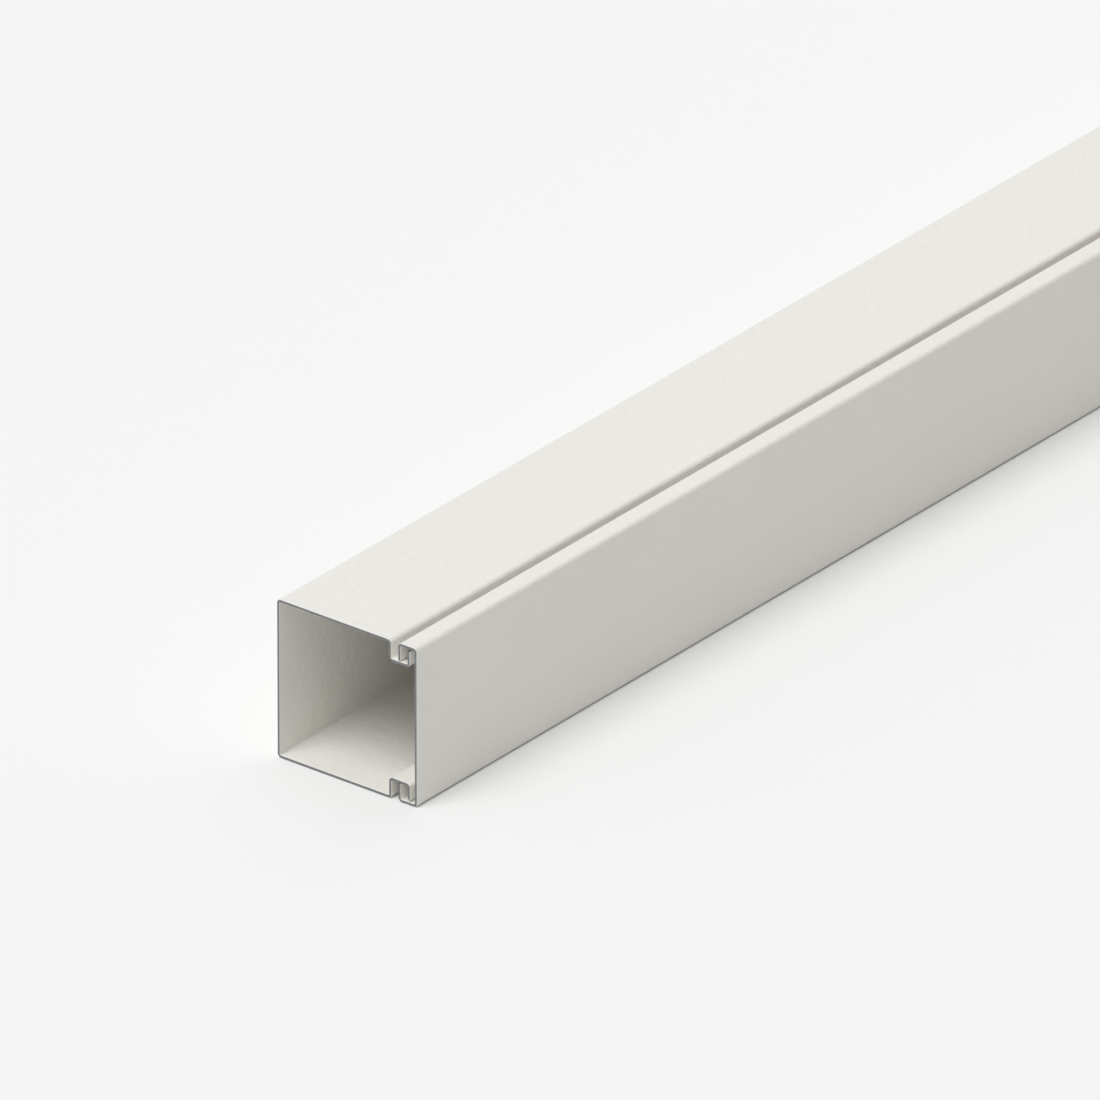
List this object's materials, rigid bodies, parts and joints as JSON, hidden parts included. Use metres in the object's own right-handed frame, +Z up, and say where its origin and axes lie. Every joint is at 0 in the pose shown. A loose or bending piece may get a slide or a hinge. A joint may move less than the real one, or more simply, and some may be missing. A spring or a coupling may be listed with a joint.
{
  "type": "cable trunking",
  "caption": "Straight length of square sheet-steel cable trunking: a folded channel with trough lips, a clip-on cover hooked into the lips, and slots along the back for fixing to a wall.",
  "frame": {"origin": "middle of the footprint on the floor, half way along the trunking", "axes": "+X along the trunking, -Y out of the cover, +Y out of the back wall that goes against the building, +Z up"},
  "size_m": [2, 0.06, 0.06],
  "materials": {
    "white_coat": "satin"
  },
  "bodies": {
    "base": {"trunking_base": "white_coat"},
    "cover": {"trunking_cover": "white_coat"}
  },
  "joints": [
    {"name": "cover_slide", "type": "slide", "parent": "base", "child": "cover", "axis": [1, 0, 0], "range_m": [-2.05, 2.05]}
  ]
}
